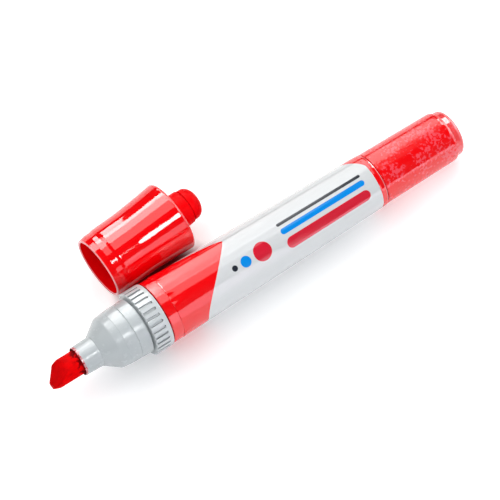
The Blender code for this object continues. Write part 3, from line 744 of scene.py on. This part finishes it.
def chisel_nib(place, mat):
    """A felt rod with a slanted chisel end and soft edges."""
    obj = revolved("chisel_nib", [
        (0.0, NIB_TIP_Z),
        (NIB_RADIUS, NIB_TIP_Z),
        (NIB_RADIUS, NIB_TAIL_Z + NIB_TAIL_TAPER),
        (NIB_TAIL_RADIUS, NIB_TAIL_Z),
        (NIB_TAIL_RADIUS, NIB_END_Z + NIB_TAIL_TAPER),
        (NIB_TAIL_RADIUS / 2, NIB_END_Z),
        (0.0, NIB_END_Z),
    ], even_angles(CORE_SIDES), place @ Matrix.Rotation(NIB_ROLL, 4, "Z"), mat, closed=False)
    bm = bmesh.new()
    bm.from_mesh(obj.data)
    peak = Vector((0.0, -CHISEL_PEAK, NIB_TIP_Z))
    land_end = peak + Vector((0.0, -CHISEL_LAND, -CHISEL_LAND_FALL))
    heel_reach = NIB_RADIUS - CHISEL_HEEL + CHISEL_PEAK
    heel = peak + Vector((0.0, heel_reach, -CHISEL_SLANT * heel_reach))
    slice_off(bm, peak, Vector((0.0, -CHISEL_LAND_FALL, CHISEL_LAND)))
    slice_off(bm, land_end, Vector((0.0, -CHISEL_CORNER_FALL, NIB_RADIUS + land_end.y)))
    slice_off(bm, peak, Vector((0.0, CHISEL_SLANT, 1.0)))
    slice_off(bm, heel, Vector((0.0, CHISEL_HEEL_FALL, CHISEL_HEEL)))
    for side in (1, -1):
        edge = peak + Vector((side * CHISEL_EDGE / 2, 0.0, 0.0))
        slice_off(bm, edge, chisel_slope(side))
    bm.to_mesh(obj.data)
    bm.free()
    obj.modifiers.clear()
    soften = obj.modifiers.new("Worn edges", "BEVEL")
    soften.width = NIB_ROUND
    soften.segments = 3
    soften.limit_method = "ANGLE"
    soften.angle_limit = math.radians(25)
    cells = obj.modifiers.new("Felt cells", "REMESH")
    cells.mode = "VOXEL"
    cells.voxel_size = FELT_GRAIN
    cells.use_smooth_shade = True
    relax = obj.modifiers.new("Felt softness", "SMOOTH")
    relax.factor = 0.5
    relax.iterations = 12
    fuzz = bpy.data.textures.new("felt_fuzz", "CLOUDS")
    fuzz.noise_scale = FELT_FUZZ
    rough = obj.modifiers.new("Felt unevenness", "DISPLACE")
    rough.texture = fuzz
    rough.texture_coords = "LOCAL"
    rough.strength = FELT_ROUGH
    return obj


def barrel_radius_at(z):
    """Radius of the tapering barrel at a place along the marker's axis."""
    share = (BARREL_Z - z) / (BARREL_Z - SEAM_Z)
    return BARREL_RADIUS + (BARREL_END_RADIUS - BARREL_RADIUS) * share


def barrel_tube(place, mat):
    """Tapering tube with a shallow seat for the film."""
    front_radius, rear_radius = barrel_radius_at(FILM_FRONT_Z), barrel_radius_at(FILM_REAR_Z)
    return revolved("barrel_tube", rounded([
        (BARREL_RADIUS, BARREL_Z, MOULD_EDGE),
        (front_radius, FILM_FRONT_Z, FINE_EDGE),
        (front_radius - SEAT_DEPTH, FILM_FRONT_Z),
        (rear_radius - SEAT_DEPTH, FILM_REAR_Z),
        (rear_radius, FILM_REAR_Z, FINE_EDGE),
        (BARREL_END_RADIUS, SEAM_Z, MOULD_EDGE),
        (CAVITY_RADIUS, SEAM_Z),
        (CAVITY_RADIUS, SOCKET_Z),
        (SOCKET_RADIUS, SOCKET_Z),
        (SOCKET_RADIUS, BARREL_Z),
    ]), even_angles(BODY_SIDES), place, mat)


def puckered(radius, angle, z):
    """Radius of the film's outside once its front edge is puckered, as shrunk film is."""
    lift = max(0.0, 1 - (FILM_FRONT_Z - z) / PUCKER_LENGTH)
    if radius < barrel_radius_at(z) - FILM_PROUD:
        return radius
    wave = sum(share * math.sin(count * angle + phase) for count, share, phase in PUCKER_WAVES)
    return radius + PUCKER_HEIGHT * wave * lift * lift


def label_sleeve(place, mat):
    """Printed film in the barrel's seat, a hair proud of the bare barrel."""
    front_z, rear_z = FILM_FRONT_Z - FILM_GAP, FILM_REAR_Z + FILM_GAP
    front_radius = barrel_radius_at(front_z) + FILM_PROUD
    rear_radius = barrel_radius_at(rear_z) + FILM_PROUD
    rows = [front_z - PUCKER_LENGTH * (row + 1) / PUCKER_ROWS for row in range(PUCKER_ROWS)]
    return revolved("label_sleeve", rounded([
        (front_radius, front_z, FILM_EDGE),
        *[(barrel_radius_at(z) + FILM_PROUD, z) for z in rows],
        (rear_radius, rear_z, FILM_EDGE),
        (rear_radius - SEAT_DEPTH, rear_z),
        (front_radius - SEAT_DEPTH, front_z),
    ]), even_angles(BODY_SIDES), place, mat, carve=puckered)


def tail_end(place, mat):
    """Hollow plug with a spigot, a rounded shoulder and a stepped flat end."""
    shoulder_radius = TAIL_REST_RADIUS - TAIL_SHOULDER_FALL
    arc = [math.radians(6 * step) for step in range(1, 15)]
    shoulder = [(shoulder_radius + TAIL_SHOULDER_FALL * math.cos(a),
                 TAIL_REST_Z - (TAIL_REST_Z - TAIL_STEP_Z) * math.sin(a)) for a in arc]
    outline = rounded([
        (0.0, TAIL_HOLLOW_Z),
        (TAIL_HOLLOW_RADIUS, TAIL_HOLLOW_Z),
        (TAIL_HOLLOW_RADIUS, TAIL_SPIGOT_Z),
        (TAIL_SPIGOT_RADIUS, TAIL_SPIGOT_Z, MOULD_EDGE),
        (TAIL_SPIGOT_RADIUS, TAIL_Z),
        (TAIL_RADIUS, TAIL_Z, MOULD_EDGE),
        (TAIL_REST_RADIUS, TAIL_REST_Z),
        *shoulder,
        (shoulder_radius, TAIL_STEP_Z, FINE_EDGE),
        (TAIL_BUTTON_RADIUS, TAIL_STEP_Z, FINE_EDGE),
        (TAIL_BUTTON_RADIUS, TAIL_END_Z, TAIL_BUTTON_ROUND),
        (0.0, TAIL_END_Z),
    ], closed=False)
    return revolved("tail_end", outline, even_angles(BODY_SIDES), place, mat, closed=False)


def ink_core(place, mat):
    """Fibre core with a socket for the tail of the nib."""
    return revolved("ink_core", rounded([
        (0.0, CORE_SOCKET_Z),
        (CORE_SOCKET_RADIUS, CORE_SOCKET_Z),
        (CORE_SOCKET_RADIUS, CORE_FRONT_Z, CORE_SOCKET_EDGE),
        (CORE_RADIUS, CORE_FRONT_Z, CORE_EDGE),
        (CORE_RADIUS, CORE_REAR_Z, CORE_EDGE),
        (0.0, CORE_REAR_Z),
    ], closed=False), even_angles(CORE_SIDES), place, mat, closed=False)


def core_wrap(place, mat):
    """Film sleeve round the fibre core."""
    return revolved("core_wrap", rounded([
        (WRAP_RADIUS, WRAP_FRONT_Z, WRAP_EDGE),
        (WRAP_RADIUS, WRAP_REAR_Z, WRAP_EDGE),
        (WRAP_INNER_RADIUS, WRAP_REAR_Z, WRAP_EDGE),
        (WRAP_INNER_RADIUS, WRAP_FRONT_Z, WRAP_EDGE),
    ]), even_angles(CORE_SIDES), place, mat)


def cap_cup(place, mat):
    """Flared cup with a stepped lip and an opening for the knob in its closed end."""
    flare = []
    for share in (step / 12 for step in reversed(range(12))):
        radius = CAP_WAIST_RADIUS + (CAP_END_RADIUS - CAP_WAIST_RADIUS) * share ** CAP_FLARE_POWER
        flare.append((radius, CAP_WAIST_Z + (CAP_LENGTH - CAP_END_ROUND - CAP_WAIST_Z) * share))
    return revolved("cap_cup", rounded([
        (KNOB_SEAT_RADIUS, CAP_LENGTH),
        (CAP_END_RADIUS, CAP_LENGTH, CAP_END_ROUND),
        *flare,
        (CAP_WAIST_RADIUS, CAP_STEP_Z, CAP_SOFT),
        (CAP_LIP_RADIUS, CAP_BAND_Z, CAP_SOFT),
        (CAP_LIP_RADIUS, CAP_LIP_Z, CAP_SOFT),
        (CAP_RIM_RADIUS, 0.0, CAP_EDGE),
        (CAP_MOUTH_RADIUS, 0.0, CAP_EDGE),
        (CAP_BORE_RADIUS, CAP_FLOOR_Z, CAP_FLOOR_ROUND),
        (KNOB_SEAT_RADIUS, CAP_FLOOR_Z),
    ]), even_angles(BODY_SIDES), place, mat)


def cap_knob(place, mat):
    """Hollow knob on the cap's closed end, with its foot in the end wall."""
    return revolved("cap_knob", rounded([
        (KNOB_RADIUS, KNOB_Z, CAP_EDGE),
        (KNOB_BASE_RADIUS, CAP_LENGTH, FINE_EDGE),
        (KNOB_SEAT_RADIUS, CAP_LENGTH),
        (KNOB_SEAT_RADIUS, CAP_FLOOR_Z),
        (KNOB_BORE, CAP_FLOOR_Z),
        (KNOB_BORE, KNOB_Z),
    ]), even_angles(BODY_SIDES), place, mat)


def cap_liner(place, mat):
    """Liner that closes round the nozzle, snapped through the knob, with a domed button outside."""
    dome = []
    for angle in (math.radians(5 * step) for step in range(18)):
        radius = LINER_BUTTON_RADIUS * math.sin(angle) ** DOME_FULLNESS
        height = (LINER_END_Z - LINER_DOME_Z) * math.cos(angle) ** DOME_FULLNESS
        dome.append((radius, LINER_DOME_Z + height))
    outline = dome + rounded([
        (LINER_BUTTON_RADIUS, LINER_DOME_Z),
        (LINER_BUTTON_RADIUS, LINER_BUTTON_Z, CAP_EDGE),
        (LINER_NECK_RADIUS, LINER_BUTTON_Z),
        (LINER_NECK_RADIUS, LINER_FLANGE_Z),
        (LINER_FLANGE_RADIUS, LINER_FLANGE_Z, MOULD_EDGE),
        (LINER_FLANGE_RADIUS, LINER_FLANGE_Z - LINER_FLANGE_LENGTH, MOULD_EDGE),
        (LINER_SEAL_RADIUS, LINER_FLANGE_Z - LINER_FLANGE_LENGTH),
        (LINER_SEAL_RADIUS, LINER_SEAL_Z, MOULD_EDGE),
        (LINER_SEAL_MOUTH, LINER_SEAL_Z, MOULD_EDGE),
        (LINER_SEAL_BORE, LINER_STOP_Z),
        (NIB_BORE, LINER_STOP_Z),
        (NIB_BORE, LINER_BORE_END_Z),
        (0.0, LINER_BORE_END_Z),
    ], closed=False)
    return revolved("cap_liner", outline, even_angles(CORE_SIDES), place, mat, closed=False)


def softbox(name, across, along, distance, radiance, tint, lights=True, reflects=True):
    """A flat lamp that the marker sees between two angles across its axis, from straight up towards the
    camera's side, and two angles along it, towards the tail, all in degrees."""
    tilt, reach = math.radians(sum(across) / 2), math.radians(sum(along) / 2)
    away = Vector((math.sin(reach), -math.sin(tilt) * math.cos(reach), math.cos(tilt) * math.cos(reach)))
    lamp = bpy.data.lights.new(name, "AREA")
    lamp.shape = "ELLIPSE" if name.endswith("window") else "RECTANGLE"
    lamp.color = tint
    lamp.size = 2 * distance * math.tan(math.radians(along[1] - along[0]) / 2)
    lamp.size_y = 2 * distance * math.tan(math.radians(across[1] - across[0]) / 2)
    lamp.energy = radiance * math.pi * lamp.size * lamp.size_y
    obj = bpy.data.objects.new(name, lamp)
    side = Vector((math.cos(reach), math.sin(tilt) * math.sin(reach), -math.cos(tilt) * math.sin(reach)))
    turn = Matrix((side, away.cross(side), away)).transposed().to_4x4()
    obj.matrix_world = Matrix.Translation(away * distance) @ turn
    obj.visible_diffuse = lights
    obj.visible_glossy = reflects
    bpy.context.scene.collection.objects.link(obj)


def apart(finish, place, size):
    """How far a point of the floor lies from the middle of an oval, where 1 is the oval's edge."""
    x, y, _ = finish.axes()
    ahead = finish.math("DIVIDE", finish.math("SUBTRACT", x, place[0]), size[0])
    beside = finish.math("DIVIDE", finish.math("SUBTRACT", y, place[1]), size[1])
    return finish.length(ahead, beside)


def white_floor():
    """A wide white floor that keeps the shadows. The camera and reflections also see a glow of its own,
    weaker in painted shadow ovals, and the gap beside the cap is painted dark red as shadow.
    """
    bm = bmesh.new()
    bmesh.ops.create_circle(bm, cap_ends=True, segments=96, radius=FLOOR_RADIUS)
    finish = Finish("floor_white", FLOOR_TONE, roughness=1.0, specular_ior_level=0.0)
    # Painted shadow: the glow falls in an oval on the marker's shadow side and in the gap beside the cap.
    shade = finish.ramp(apart(finish, SHADE_PLACE, SHADE_SIZE), 0.5, 1.1, SHADE_GLOW, FLOOR_GLOW)
    narrow = finish.ramp(apart(finish, NARROW_PLACE, NARROW_SIZE), 0.7, 1.4)
    glow = finish.math("MULTIPLY", shade, narrow)
    # Painted shadow: the floor is dark red in the gap beside the cap.
    finish.set("Base Color", finish.mix(narrow, GAP_PAINTED_SHADOW, FLOOR_TONE))
    path = finish.add("ShaderNodeLightPath").outputs
    seen = finish.math("MAXIMUM", path["Is Camera Ray"], path["Is Glossy Ray"])
    seen = finish.math("MAXIMUM", seen, path["Is Transmission Ray"])
    finish.set("Emission Color", (1.0, 1.0, 1.0, 1.0))
    finish.set("Emission Strength", finish.math("MULTIPLY", seen, glow))
    placed("floor", bm, Matrix.Identity(4), finish.material)


def studio():
    """Floor, soft lamps and a dim surround."""
    white_floor()
    for name, across, along, radiance, tint in GLOWS:
        softbox(name, across, along, GLOW_DISTANCE, radiance, tint, lights=False)
    for lamp in LAMPS:
        softbox(*lamp, reflects=False)
    world = bpy.data.worlds.new("surround")
    world.use_nodes = True
    sky = world.node_tree.nodes["Background"]
    sky.inputs["Color"].default_value = (1.0, 1.0, 1.0, 1.0)
    sky.inputs["Strength"].default_value = SURROUND
    bpy.context.scene.world = world


def camera():
    """The camera at the photograph's angle."""
    back = Vector((math.sin(CAMERA_AZIMUTH) * math.cos(CAMERA_ELEVATION),
                   -math.cos(CAMERA_AZIMUTH) * math.cos(CAMERA_ELEVATION),
                   math.sin(CAMERA_ELEVATION)))
    lens = bpy.data.cameras.new("camera")
    lens.lens = CAMERA_LENS
    lens.sensor_width = CAMERA_SENSOR
    lens.clip_start = 0.01
    obj = bpy.data.objects.new("camera", lens)
    obj.location = CAMERA_TARGET + back * CAMERA_DISTANCE
    obj.rotation_mode = "QUATERNION"
    obj.rotation_quaternion = (-back).to_track_quat("-Z", "Y")
    bpy.context.scene.collection.objects.link(obj)
    bpy.context.scene.camera = obj


MARKER = marker_frame()
CAP = cap_frame()

camera()
studio()
bpy.context.scene.view_settings.view_transform = "Standard"

dress(nose_moulding(MARKER, grey_plastic()), "nose", "nose_section")
dress(chisel_nib(MARKER, inked_felt()), "nib", "nib")
# The last tuple of each red_plastic call places its painted highlight: the barrel's rear edge at the seam,
# the tail's button and the cap's rim.
barrel_red = red_plastic("barrel_red", 0.08, 0.004, 0.000004, 1.0, (SEAM_Z + 0.0003, SEAM_Z + 0.0001, 0.75))
dress(barrel_tube(MARKER, barrel_red), "barrel", "barrel")
dress(label_sleeve(MARKER, printed_film()), "barrel", "label_film")
tail_red = red_plastic("tail_red", 0.09, 0.0008, 0.000024, 0.75,
                       (TAIL_STEP_Z + 0.0001, TAIL_STEP_Z - 0.0001, 0.16), painted_flecks=0.20)
dress(tail_end(MARKER, tail_red), "barrel", "tail_plug")
dress(ink_core(MARKER, fibre_core()), "barrel", "ink_reservoir")
dress(core_wrap(MARKER, clear_wrap()), "barrel", "reservoir_wrap")
knob_red = soft_red()
cap_red = red_plastic("cap_red", 0.05, 0.006, 0.000003, 0.6, (0.0004, 0.0001, 0.75))
dress(cap_cup(CAP, cap_red), "cap", "cap_shell")
dress(cap_knob(CAP, knob_red), "cap", "cap_shell")
dress(cap_liner(CAP, knob_red), "cap", "inner_cap")
